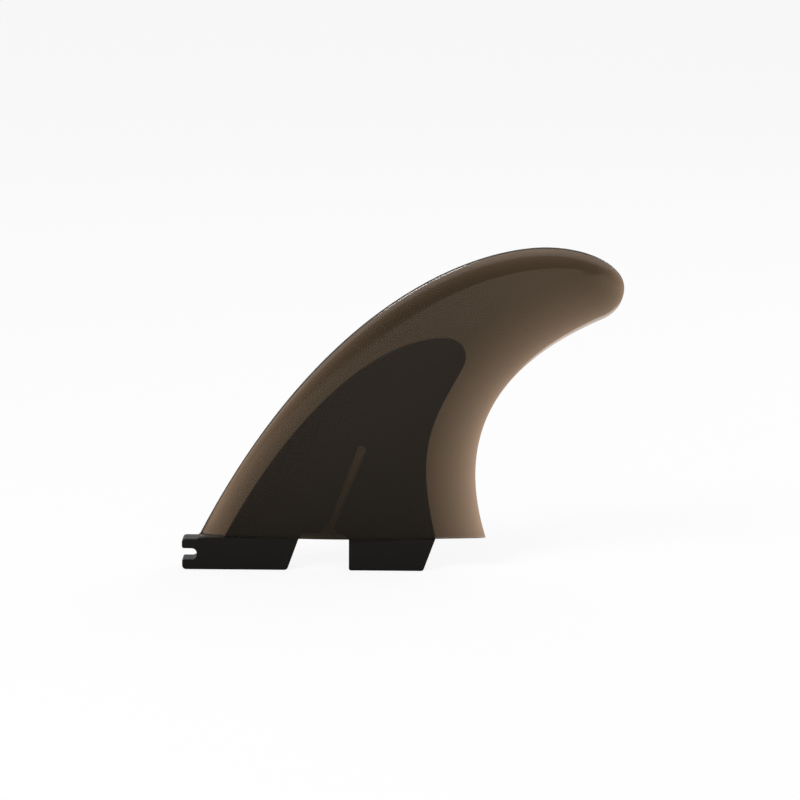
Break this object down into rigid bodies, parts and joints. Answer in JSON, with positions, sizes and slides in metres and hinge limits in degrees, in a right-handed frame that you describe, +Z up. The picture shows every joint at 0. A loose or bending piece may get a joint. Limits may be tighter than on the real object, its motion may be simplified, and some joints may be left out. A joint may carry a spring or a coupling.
{
  "type": "surfboard fin",
  "caption": "Swept, symmetric surfboard fin with a translucent foil moulded over a stiff black core whose plug tabs fit a two-tab fin box.",
  "frame": {"origin": "middle of the blade's base chord, on the flat base that seats on the board's surface", "axes": "+X towards the trailing edge, +Y through the thickness, +Z up the fin, away from the board"},
  "size_m": [0.1679, 0.0082, 0.127],
  "materials": {
    "smoke_plastic": "clear smoke-brown plastic with a fine satin skin",
    "black_plastic": "matt black moulded plastic"
  },
  "bodies": {
    "root": {"blade": "smoke_plastic", "tab_core": "black_plastic"}
  },
  "joints": []
}
